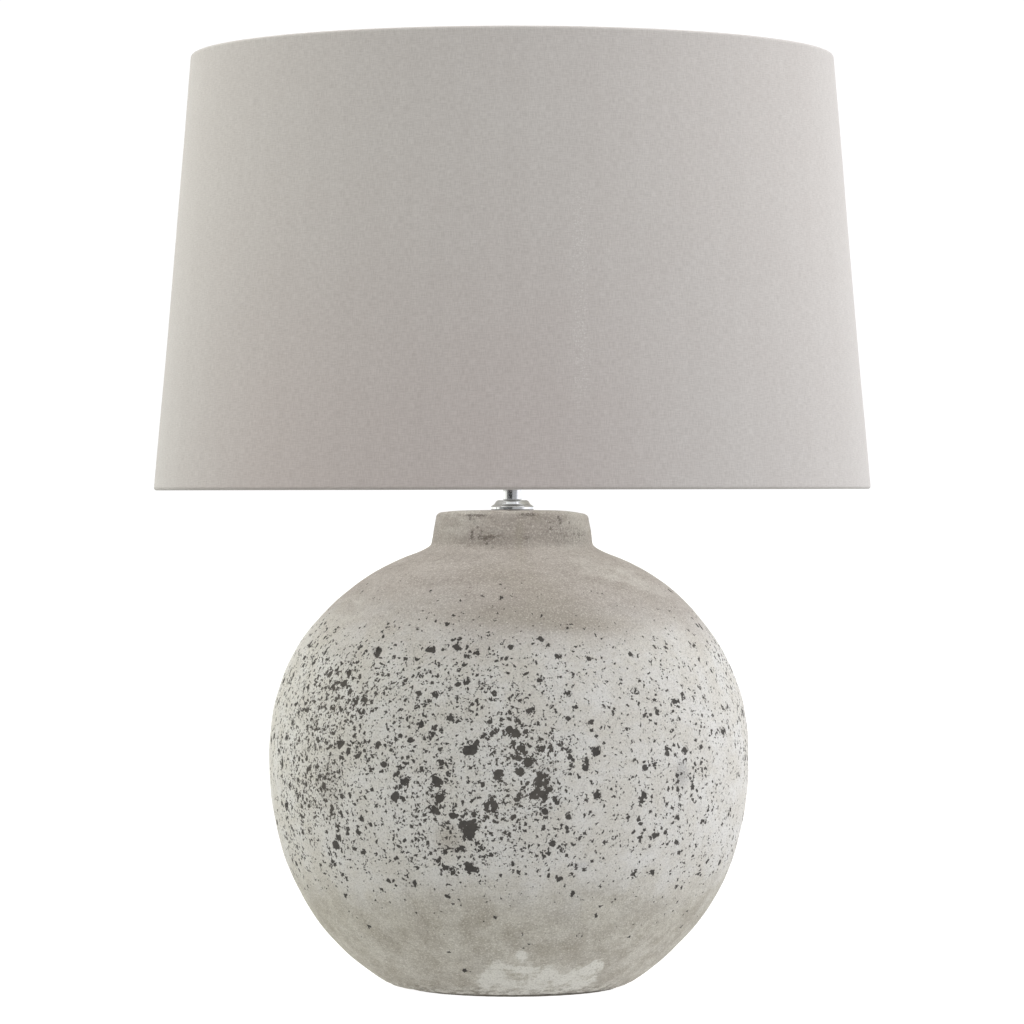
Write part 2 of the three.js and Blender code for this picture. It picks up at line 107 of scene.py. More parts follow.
# ---- node helpers
class Nodes:
    """Builds the nodes of a world or a material. Every method takes and gives sockets or plain values."""

    def __init__(self, owner):
        owner.use_nodes = True
        self.tree = owner.node_tree
        self.tree.nodes.clear()

    def node(self, kind, inputs, **settings):
        made = self.tree.nodes.new(kind)
        for key, value in settings.items():
            setattr(made, key, value)
        for key, value in inputs.items():
            self.set(made.inputs[key], value)
        return made

    def set(self, socket, value):
        if isinstance(value, bpy.types.NodeSocket):
            self.tree.links.new(value, socket)
        elif isinstance(value, (tuple, list)) and len(value) == 3 and socket.type == "RGBA":
            socket.default_value = (*value, 1.0)
        else:
            socket.default_value = value

    def math(self, operation, a, b=0.0):
        return self.node("ShaderNodeMath", {0: a, 1: b}, operation=operation).outputs[0]

    def add(self, a, b):
        return self.math("ADD", a, b)

    def times(self, a, b):
        return self.math("MULTIPLY", a, b)

    def about(self, value, reach):
        """A value from 0 to 1, such as noise, spread evenly about 0 over reach."""
        return self.times(self.add(value, -0.5), reach)

    def step(self, value, low, high, to_low=0.0, to_high=1.0, kind="SMOOTHSTEP"):
        """A smooth step, from to_low where value is low to to_high where it is high."""
        inputs = {0: value, 1: low, 2: high, 3: to_low, 4: to_high}
        return self.node("ShaderNodeMapRange", inputs, interpolation_type=kind).outputs[0]

    def ramp(self, value, low, high, to_low=0.0, to_high=1.0):
        """As step, but in a straight line."""
        return self.step(value, low, high, to_low, to_high, "LINEAR")

    def mix(self, share, a, b):
        made = self.node("ShaderNodeMix", {}, data_type="RGBA")
        for index, value in ((0, share), (6, a), (7, b)):
            self.set(made.inputs[index], value)
        return made.outputs[2]

    def over(self, colour, other, value, low, high, share):
        """colour, with up to share of other where value goes from low to high."""
        return self.mix(self.step(value, low, high, 0.0, share), colour, other)

    def position(self):
        """The point in the object's frame, in millimetres."""
        return self.scaled(self.node("ShaderNodeTexCoord", {}).outputs["Object"], (1000, 1000, 1000))

    def seen(self):
        """1 for what the camera sees directly, 0 for the light on other things."""
        return self.node("ShaderNodeLightPath", {}).outputs["Is Camera Ray"]

    def scaled(self, vector, factors):
        return self.vector("MULTIPLY", vector, factors)

    def vector(self, operation, a, b=(0, 0, 0), value=False):
        made = self.node("ShaderNodeVectorMath", {0: a, 1: b}, operation=operation)
        return made.outputs["Value" if value else "Vector"]

    def split(self, vector):
        return self.node("ShaderNodeSeparateXYZ", {0: vector}).outputs

    def join(self, x, y, z):
        return self.node("ShaderNodeCombineXYZ", {0: x, 1: y, 2: z}).outputs[0]

    def noise(self, vector, size, detail=2.0, roughness=0.5, colour=False):
        """Noise whose largest features are about size millimetres."""
        inputs = {"Vector": vector, "Scale": 1.0 / size, "Detail": detail, "Roughness": roughness}
        made = self.node("ShaderNodeTexNoise", inputs)
        return made.outputs["Color" if colour else "Fac"]

    def cells(self, vector, size, measure="EUCLIDEAN"):
        """Voronoi cells of about size millimetres: (distance in cell sizes, random colour)."""
        made = self.node("ShaderNodeTexVoronoi", {"Vector": vector, "Scale": 1.0 / size}, distance=measure)
        return made.outputs["Distance"], made.outputs["Color"]

    def attribute(self, name):
        return self.node("ShaderNodeAttribute", {}, attribute_name=name).outputs

    def bump(self, height, distance, strength=1.0):
        """distance is the height in metres of a whole unit of height."""
        inputs = {"Height": height, "Distance": distance, "Strength": strength}
        return self.node("ShaderNodeBump", inputs).outputs[0]


class Paint(Nodes):
    """A material with one main shader."""

    def __init__(self, name):
        self.material = bpy.data.materials.new(name)
        super().__init__(self.material)
        output = self.node("ShaderNodeOutputMaterial", {})
        self.shader = self.node("ShaderNodeBsdfPrincipled", {})
        self.set(output.inputs["Surface"], self.shader.outputs[0])

    def surface(self, **inputs):
        """Sets the main shader's sockets; underscores in a name stand for spaces."""
        for key, value in inputs.items():
            self.set(self.shader.inputs[key.replace("_", " ")], value)
        return self.material


# ---- camera, light and floor
def add_camera():
    data = bpy.data.cameras.new("camera")
    data.lens = 161.5
    data.sensor_width = 36.0
    camera = bpy.data.objects.new("camera", data)
    camera.location = (-0.0002, -2.9, 0.3132)
    camera.rotation_euler = (math.radians(90 - 0.2825), 0, 0)
    bpy.context.scene.collection.objects.link(camera)
    bpy.context.scene.camera = camera


def add_world():
    """White for the camera. For light: a white studio that is brightest behind the lamp and dark towards
    the camera, with darker strips there that the chrome shows as stripes."""
    world = bpy.data.worlds.new("studio")
    bpy.context.scene.world = world
    n = Nodes(world)
    direction = n.node("ShaderNodeTexCoord", {}).outputs["Generated"]
    x, y, z = n.split(direction)
    turn = math.radians(BRIGHT_TURN)
    along = n.vector("DOT_PRODUCT", direction, (math.sin(turn), math.cos(turn), 0), value=True)
    walls = n.step(along, -0.62, -0.12, DARK_SIDE, BRIGHT_SIDE)
    walls = n.times(walls, n.ramp(along, 0.15, 1.0, 1.0, 0.68))
    level = n.add(walls, n.ramp(z, 0.0, 1.0, 0.0, TOP_LIGHT))

    def between(value, low, high, soft):
        """1 from low to high, falling to 0 over soft on either side."""
        return n.times(n.step(value, low - soft, low), n.step(value, high + soft, high))

    around = n.math("ARCTAN2", x, n.times(y, -1.0))
    upright = between(z, -0.15, 0.4, 0.12)
    for left, right, kept in DARK_STRIPS:
        strip = n.times(between(around, left, right, 0.05), upright)
        level = n.times(level, n.ramp(strip, 0.0, 1.0, 1.0, kept))
    tint = n.mix(n.ramp(x, -0.8, 0.5), (0.985, 0.99, 0.9), (0.99, 0.995, 1.0))
    light = n.node("ShaderNodeBackground", {"Color": tint, "Strength": level}).outputs[0]
    backdrop = n.node("ShaderNodeBackground", {"Color": (1, 1, 1), "Strength": 1.05}).outputs[0]
    both = n.node("ShaderNodeMixShader", {0: n.seen(), 1: light, 2: backdrop}).outputs[0]
    n.node("ShaderNodeOutputWorld", {0: both})
    bpy.context.scene.view_settings.view_transform = "Standard"


def add_floor():
    """White where the camera sees it, with a soft light under the lamp, as a light table has."""
    mesh = bpy.data.meshes.new("floor")
    reach = 30.0
    corners = [(-reach, -reach, 0), (reach, -reach, 0), (reach, reach, 0), (-reach, reach, 0)]
    mesh.from_pydata(corners, [], [(0, 1, 2, 3)])
    floor = bpy.data.objects.new("floor", mesh)
    p = Paint("floor")
    colour = p.mix(p.noise(p.position(), 40, 3), (0.49, 0.49, 0.485), (0.51, 0.51, 0.505))
    from_lamp = p.vector("LENGTH", p.position(), value=True)
    glow = p.add(p.times(p.seen(), 0.5), p.step(from_lamp, 260, 70, 0.0, 0.42))
    p.surface(Base_Color=colour, Roughness=0.9, Emission_Color=(1, 1, 1), Emission_Strength=glow)
    mesh.materials.append(p.material)
    bpy.context.scene.collection.objects.link(floor)


# ---- mesh helpers
def finish_mesh(name, node, points, faces, sharp=35):
    """Makes a smooth mesh object from points in millimetres. It stands for a CAD node: it rides on the
    node's body and has the material of its slot."""
    mesh = bpy.data.meshes.new(name)
    mesh.from_pydata((np.asarray(points) * MM).tolist(), [], faces)
    mesh.shade_smooth()
    mesh.set_sharp_from_angle(angle=math.radians(sharp))
    mesh.materials.append(paints[SLOTS[node]])
    piece = bpy.data.objects.new(name, mesh)
    bpy.context.scene.collection.objects.link(piece)
    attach(piece, BODIES[node])
    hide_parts(node)
    return piece


def grid_faces(rows, columns, closed_rows):
    """Quads between rows of points that run round the axis; the outside runs upwards."""
    faces = []
    for i in range(rows if closed_rows else rows - 1):
        low, high = i * columns, (i + 1) % rows * columns
        for j in range(columns):
            k = (j + 1) % columns
            faces.append((low + j, low + k, high + k, high + j))
    return faces


def revolve(profile, columns, reshape=None):
    """Turns a profile of [radius, z] about Z. It is closed on itself, or starts and ends on the axis.
    reshape(row, radius, z, angle) may give another radius."""
    on_axis = profile[0][0] == 0 and profile[-1][0] == 0
    ring_rows = profile[1:-1] if on_axis else profile
    points = []
    for i, (radius, z) in enumerate(ring_rows):
        for j in range(columns):
            angle = TAU * j / columns
            r = reshape(i, radius, z, angle) if reshape else radius
            points.append((r * math.cos(angle), r * math.sin(angle), z))
    faces = grid_faces(len(ring_rows), columns, closed_rows=not on_axis)
    if on_axis:
        bottom, top = len(points), len(points) + 1
        points += [(0, 0, profile[0][1]), (0, 0, profile[-1][1])]
        last = (len(ring_rows) - 1) * columns
        for j in range(columns):
            k = (j + 1) % columns
            faces.append((bottom, k, j))
            faces.append((top, last + j, last + k))
    return points, faces


def thread(radii, low, high, pitch, depth):
    """A reshape for revolve: a round right-hand thread on the rows of these radii between two heights."""
    def reshape(row, radius, z, angle):
        if not low <= z <= high or radius not in radii:
            return radius
        fade = min(1, (z - low) / pitch * 2, (high - z) / pitch * 2)
        turn = z / pitch - angle / TAU
        return radius + fade * depth * 0.5 * (1 + math.cos(TAU * turn))
    return reshape


def rows_between(radius, low, high, step):
    """Profile points straight up, or down, at one radius."""
    count = max(2, round(abs(high - low) / step) + 1)
    return [(radius, low + (high - low) * i / (count - 1)) for i in range(count)]


def turned(name, node, profile, columns, reshape=None):
    points, faces = revolve(profile, columns, reshape)
    return finish_mesh(name, node, points, faces)


def sleeve(name, node, bore, columns, edge, reshape=None):
    """A plain ring from a bore out to its node's own radius, with rounded edges."""
    low, high = box_mm(node)
    corners = [(bore, low.z), (high.x, low.z), (high.x, high.z), (bore, high.z)]
    turned(name, node, rounded(corners, edge, 4), columns, reshape)


def rounded(corners, radius, steps, closed=True):
    """A profile whose corners are rounded; an open one keeps its two ends. A point on the straight beside
    each round keeps the shading of the straight true."""
    made = []
    count = len(corners)
    for i, corner in enumerate(corners):
        if not closed and i in (0, count - 1):
            made.append(tuple(corner))
            continue
        here = np.array(corner, float)
        before = np.array(corners[i - 1], float) - here
        after = np.array(corners[(i + 1) % count], float) - here
        long_before, long_after = np.linalg.norm(before), np.linalg.norm(after)
        reach = min(radius, long_before * 0.34, long_after * 0.34)
        start, start_hold = (here + before / long_before * reach * s for s in (1, 1.4))
        end, end_hold = (here + after / long_after * reach * s for s in (1, 1.4))
        made.append(tuple(map(float, start_hold)))
        for k in range(steps + 1):
            t = k / steps
            point = start * (1 - t) ** 2 + here * 2 * t * (1 - t) + end * t * t
            made.append((float(point[0]), float(point[1])))
        made.append(tuple(map(float, end_hold)))
    return made


def drill(piece, radius, start, axis, depth, sharp):
    """Cuts a round hole, centred on start and depth long in all; lengths in millimetres."""
    bpy.ops.mesh.primitive_cylinder_add(vertices=48, radius=radius * MM, depth=depth * MM)
    bit = bpy.context.object
    bit.rotation_mode = "QUATERNION"
    bit.rotation_quaternion = axis.to_track_quat("Z", "Y")
    bit.location = start * MM
    bpy.context.view_layer.update()
    cut = piece.modifiers.new("hole", "BOOLEAN")
    cut.solver = "MANIFOLD"
    cut.object = bit
    bpy.context.view_layer.objects.active = piece
    bpy.ops.object.modifier_apply(modifier=cut.name)
    bpy.data.objects.remove(bit)
    piece.data.set_sharp_from_angle(angle=math.radians(sharp))


def store(piece, name, values, kind="FLOAT"):
    """Keeps one value, or one vector, for each point of a mesh."""
    attribute = piece.data.attributes.new(name, kind, "POINT")
    key = "vector" if kind == "FLOAT_VECTOR" else "value"
    attribute.data.foreach_set(key, np.asarray(values, np.float32).ravel())


# ---- the ceramic base
def ceramic_radius(z):
    """The base's outline: two superellipse halves that meet at the belly, with a neck."""
    if z < BELLY_Z:
        reach = (BELLY_Z - z) / LOWER_HEIGHT
        return BELLY_RADIUS * math.sqrt(1 - reach**LOWER_POWER)
    reach = min(1, (z - BELLY_Z) / UPPER_HEIGHT)
    body = BELLY_RADIUS * math.sqrt(1 - reach**UPPER_POWER)
    neck = NECK_RADIUS + (NECK_TOP_RADIUS - NECK_RADIUS) * (z - NECK_Z) / (LIP_Z - NECK_Z)
    near = max(0, 1 - abs(body - neck) / NECK_FILLET)
    return max(body, neck) + near * near * NECK_FILLET / 4


def ceramic_slope(z):
    return ceramic_radius(z + 0.5) - ceramic_radius(z - 0.5)


# A place on the ceramic is its angle to the right of the front, in degrees, and its height.
# The large pits: (angle, height, width).
FRONT_PITS = [
    (-9.4, 108.5, 8), (-8, 111, 6), (-10.6, 112, 4.5), (-8.6, 105.5, 5), (3.3, 158, 6), (6.9, 158, 4),
    (4.2, 150, 6), (2.6, 145, 5), (7.4, 141, 6), (8.6, 138, 4.5), (7.8, 131, 6.5), (5.8, 130, 5),
    (9.2, 133, 4), (6.6, 136, 4.5), (20.3, 156, 6), (20.7, 129, 5.5), (-9.2, 157, 6), (-7.8, 157.5, 5),
    (-16.7, 138, 6.5), (-16.5, 128, 7), (-2.4, 142, 4), (0, 168, 5.5), (1.6, 167, 5), (-9.6, 86, 5.5),
    (-24.2, 75, 4), (-37, 214, 6.5), (-24.4, 138, 5.5), (-44, 201, 5), (-44.4, 195, 4), (-48.8, 193, 4.5),
    (-39.6, 184, 4.5), (-36.9, 185, 4), (-42.5, 159, 5), (-46.7, 158, 4), (-37.5, 154, 4), (-18, 165, 4),
    (-7.9, 118, 4), (-3.5, 121, 4), (13.6, 156, 4), (14, 153, 3.5), (17.7, 151, 3.5), (17.8, 147, 3.5),
    (7.2, 198, 4), (5.3, 180, 4), (14, 190, 4), (10.8, 127, 4.5), (8, 121, 4), (14, 117, 4), (10, 102, 3.5),
    (13.2, 98, 3.5), (29, 115, 4), (32.7, 128, 4), (31.6, 191, 4), (44, 184, 4), (36.8, 103, 4),
    (52.7, 111, 4), (45.4, 155, 3.5), (39.5, 156, 3.5), (12.7, 79, 3.5), (16.5, 70, 3.5), (38, 80, 3.5),
    (21.3, 43, 3.5), (-15.5, 20, 3.5), (-13, 118, 4.5), (-26.5, 142, 4), (-17.5, 121, 5), (-20.5, 172, 4),
    (-15.4, 149, 4.2), (-23, 163, 3.6), (-14, 222, 4), (-21, 216, 4.5), (-10.5, 213, 3.6), (-17.5, 217, 3),
    (-12.5, 97, 3.5), (-17, 90, 4), (-14, 84, 3.5),
]

# How crowded the small pits are: (angle, height, half width, half height, weight).
PIT_CLUSTERS = [
    (-50, 160, 24, 50, 0.62), (-38, 195, 20, 20, 0.3), (-19, 128, 17, 30, 0.3), (3, 146, 22, 34, 0.75),
    (-6, 116, 22, 22, 0.18), (-32, 150, 20, 34, 0.2), (42, 140, 30, 40, 0.2), (9, 150, 18, 24, 0.25),
    (-60, 140, 22, 40, 0.25), (-22, 84, 26, 12, 0.22), (-49, 116, 20, 16, 0.3), (-31, 110, 14, 24, -0.25),
    (-20, 190, 70, 14, 0.16),
]

# The same five values, for where the wash is browner and darker or, below zero, paler: scuffed, except the
# two at height 291, which only make the neck paler at its sides.
STAINS = [
    (-46, 134, 18, 28, 0.4), (14, 246, 46, 16, 0.45), (-6, 262, 34, 9, 0.3), (24, 230, 40, 7, 0.45),
    (-8, 236, 50, 8, 0.3), (40, 262, 26, 14, -0.55), (62, 250, 26, 18, -0.3), (-14, 103, 12, 12, 0.6),
    (-22, 62, 24, 14, 0.3), (-30, 42, 28, 16, 0.3), (6, 54, 22, 10, 0.3), (34, 48, 30, 12, 0.3),
    (-55, 215, 30, 9, 0.4), (5, 285, 5, 16, 0.5), (-38, 96, 26, 12, 0.25), (20, 30, 10, 10, 0.45),
    (24, 200, 34, 30, -0.2), (30, 168, 30, 24, -0.15), (-2, 72, 34, 12, 0.2), (-62, 200, 26, 24, -0.2),
    (54, 291, 18, 10, -1.1), (-50, 291, 22, 10, -1), (-62, 238, 30, 14, -0.5), (-20, 285, 12, 5, 0.6),
    (18, 296, 6, 6, 0.45), (-40, 276, 16, 5, 0.2),
]

# Cool grey smudges on the wash.
SMUDGES = [
    (44, 140, 9, 11, 0.9), (18, 87, 12, 5, 0.6), (9, 142, 13, 15, 0.5), (-15, 287, 14, 5, 0.5),
    (50, 118, 12, 6, 0.5), (-62, 96, 16, 6, 0.4), (30, 206, 14, 6, 0.35), (3, 212, 14, 4, 0.45),
]

# Dark scratches and scribbled crackle on the neck.
NECK_MARKS = [
    (-34, 297.3, 2.6, 0.9, 1), (-33, 295, 1.3, 1.2, 1), (-26, 297.2, 5, 0.9, 1.15), (-29.5, 294, 0.8, 1, 1),
    (-27.5, 292.3, 1, 0.9, 1.1), (-26, 289.8, 1, 0.9, 1.1), (-30, 286.5, 1, 0.9, 1.1),
    (-22.5, 287.2, 0.9, 0.8, 1), (-24, 283.6, 1.1, 1.6, 0.9), (-20, 282.6, 2, 1, 0.8),
    (12, 297.6, 6, 1, 1.2), (36.5, 296, 1, 1.6, 1.1), (38, 293.4, 1.2, 1.8, 1.1),
    (28.5, 289.2, 1.2, 1.1, 1.1), (47, 293, 1, 0.9, 1), (29, 293.4, 3, 0.6, 0.8), (38, 285, 13, 6, 0.4),
    (58, 285, 9, 6, 0.4), (-15, 284, 9, 1.4, 0.55), (-14, 281, 10, 4, 0.3), (-30, 283.5, 1.9, 2, 0.95),
    (10.5, 283, 1.6, 1.1, 0.85), (-13, 277, 1, 0.9, 1), (-18, 279, 0.9, 0.8, 1),
]

# The patch of bare plaster at the foot; below zero, a notch in it.
PLASTER = [
    (4, 14, 27, 10, 1), (4.2, 30, 5, 4, 0.7), (27, 15, 14, 8, 0.9), (13, 5, 38, 8, 0.9),
    (20, 23, 5, 8, -0.9), (-4, 24, 9, 4, 0.4), (32, 23, 6, 4, 0.5),
]


def place_on_ceramic(degrees, z):
    angle = math.radians(degrees)
    radius = ceramic_radius(z)
    return radius * math.sin(angle), -radius * math.cos(angle), z


def blobs(points, spots):
    """The sum at each point of soft round spots on the ceramic."""
    angle = np.degrees(np.arctan2(points[:, 0], -points[:, 1]))
    total = np.zeros(len(points))
    for degrees, z, across, up, weight in spots:
        turn = (angle - degrees + 180) % 360 - 180
        x = np.radians(turn) * ceramic_radius(z) / across
        y = (points[:, 2] - z) / up
        total += weight * np.exp(-(x**2) - y**2)
    return total


def rise(values, start, end):
    """0 before start, 1 past end, and a straight line between them; start may be the higher of the two."""
    return np.clip((values - start) / (end - start), 0, 1)


def slow_noise(points, size, seed):
    """Smooth noise from -1 to 1 at each point, with features of about size millimetres."""
    shift = Vector((seed * 7.3, seed * 3.1, seed * 5.7))
    return np.array([noise.noise(Vector(point) / size + shift) for point in points])


def crowding(points):
    """How crowded the pits are at each point: a band round the belly, thick at the left front."""
    angle = np.degrees(np.arctan2(points[:, 0], -points[:, 1]))
    z = points[:, 2]
    band = rise(z, 62, 96) * rise(z, 234, 208)
    left = 0.2 + 0.22 * rise(angle, 18, -8) * (angle > -90)
    behind = rise(np.abs(angle), 66, 82)
    back = 0.28 + 0.75 * np.clip(slow_noise(points, 42, 1), -0.3, 1)
    fade = rise(z, 30, 80) * rise(z, 262, 232)
    front = left * band + blobs(points, PIT_CLUSTERS) * band
    return front * (1 - behind) + back * band * behind + 0.05 * fade


def all_pits():
    """Points on the outline and widths of every pit that is cut in the mesh, in millimetres."""
    chosen = list(FRONT_PITS)
    draw = random.Random(11)
    tries = []
    for _ in range(9000):
        tries.append((draw.uniform(-180, 180), draw.uniform(20, 258), draw.random(), draw.random()))
    crowd = crowding(np.array([place_on_ceramic(degrees, z) for degrees, z, _, _ in tries]))
    for (degrees, z, luck, size), crowded in zip(tries, crowd):
        if luck < 0.1 * crowded:
            widest = 3.4 if abs(degrees) < 62 else 8.0
            chosen.append((degrees, z, min(widest, 1.8 - 0.9 * math.log(1 - 0.98 * size))))
    return np.array([(*place_on_ceramic(degrees, z), width) for degrees, z, width in chosen])


def pit_field(points, pits):
    """The distance from each point to the nearest pit's edge, below 0 inside it, and that pit's width."""
    field = np.full(len(points), 4.0)
    width_at = np.zeros(len(points))
    for x, y, z, width in pits:
        near = np.flatnonzero(np.abs(points[:, 2] - z) < width / 2 + 4)
        offset = points[near] - (x, y, z)
        edge = np.sqrt((offset**2).sum(1)) - width / 2
        closer = edge < field[near]
        field[near[closer]] = edge[closer]
        width_at[near[closer]] = width
    return field, width_at


def ceramic_profile():
    """The outer wall from the foot's underside to the rod hole, and the inner wall back down."""
    step = 1.55
    outer = [(FOOT_INNER, FOOT_Z), (FOOT_RADIUS - 4, FOOT_Z), (FOOT_RADIUS + 1.5, FOOT_Z)]
    outer += [(FOOT_RADIUS + 3.2, FOOT_Z + 0.5), (FOOT_RADIUS + 4.7, FOOT_Z + 1.4)]
    z = FOOT_Z + 2.5
    lip_start = LIP_Z - EDGE_ROUND
    while z < lip_start - 0.5:
        outer.append((ceramic_radius(z), z))
        z += step / math.hypot(1, ceramic_slope(z))
    lip_radius = ceramic_radius(lip_start) - EDGE_ROUND
    for k in range(7):
        a = math.pi / 2 * k / 6
        outer.append((lip_radius + EDGE_ROUND * math.cos(a), lip_start + EDGE_ROUND * math.sin(a)))
    for radius in (40, 34, 28, 22, 16, 11, 7, ROD_HOLE):
        outer.append((radius, LIP_Z))
    inner = [(ROD_HOLE, LIP_Z - WALL), (36, LIP_Z - WALL)]
    for z in (284, 270, 250, 215, 165, 115, 82, 62, 44, 24):
        inset = WALL / math.hypot(1, ceramic_slope(z))
        inner.append((ceramic_radius(z) - inset, z + inset * ceramic_slope(z)))
    inner.append((FOOT_INNER, FOOT_Z + 9))
    return outer, inner


def moves_by_hand(skin, outlet):
    """How far each point of the outer wall moves from the even outline, as on a hand-made pot."""
    height = skin[:, 2]
    from_middle = np.hypot(skin[:, 0], skin[:, 1])
    # The wall wanders a little, except at the foot, and the foot's edge is chipped and lumpy.
    above_foot = rise(height, FOOT_Z, FOOT_Z + 25)
    below_lip = np.maximum(rise(height, LIP_Z + 4, LIP_Z - 26), 0.25)
    wander = (slow_noise(skin, 70, 0) + 0.35 * slow_noise(skin, 16, 0)) * above_foot * below_lip
    near_foot = rise(height, FOOT_Z + 9, FOOT_Z)
    chips = np.clip(slow_noise(skin, 7, 2) - 0.12, 0, 1) + np.clip(slow_noise(skin, 2.6, 3), 0, 1) * 0.5
    on_top = height > LIP_Z - 0.01
    push = (wander - chips * near_foot) * ~on_top
    # The large pits are sunk into it.
    field, width_at = pit_field(skin, all_pits())
    push -= np.minimum(0.22 * width_at, 1.6) * rise(field, 0.3, -0.9) * (from_middle > 20)
    # It is even round the flex outlet, so that the grommet fits.
    calm = rise(np.linalg.norm(skin - np.array(outlet), axis=1), 13, 29)
    outward = skin.copy()
    outward[:, 2] = (height - BELLY_Z) * (np.abs(height - BELLY_Z) > 90) * 0.8
    outward /= np.maximum(np.linalg.norm(outward, axis=1), 1e-6)[:, None]
    moved = outward * (push * calm)[:, None]
    moved[:, 2] = np.maximum(moved[:, 2], FOOT_Z - height)
    # The whole body leans to the left, and the lip is worn down at its right and left sides.
    moved[:, 0] -= LEAN * rise(height, 285, 225)
    lip = rise(height, 288, 296) * rise(from_middle, 26, 44)
    aside = rise(np.abs(skin[:, 0]), 12, 46) ** 2
    moved[:, 2] -= lip * aside * np.where(skin[:, 0] > 0, *LIP_WEAR)
    return moved, field


def make_ceramic():
    outer, inner = ceramic_profile()
    points, faces = revolve(outer + inner, CERAMIC_COLUMNS)
    true_points = np.array(points)
    points = true_points.copy()
    outside = len(outer) * CERAMIC_COLUMNS
    outlet, way_out = outlet_line()
    moved, field = moves_by_hand(true_points[:outside], outlet)
    points[:outside] += moved
    piece = finish_mesh("ceramic_base", "ceramic_body", points, faces, sharp=60)
    pit_edge = np.full(len(points), 4.0)
    pit_edge[:outside] = field
    store(piece, "pit_edge", pit_edge)
    store(piece, "crowd", crowding(true_points))
    spots = {"stain": STAINS, "smudge": SMUDGES, "neck_mark": NECK_MARKS, "plaster": PLASTER}
    for name, places in spots.items():
        store(piece, name, blobs(true_points, places))
    drill(piece, OUTLET_RADIUS, outlet, way_out, 30, sharp=60)


def outlet_line():
    """The middle of the flex outlet on the outside of the wall, and the way out of it."""
    axis = Vector((0, 1, -ceramic_slope(OUTLET_Z))).normalized()
    return Vector((0, ceramic_radius(OUTLET_Z), OUTLET_Z)), axis


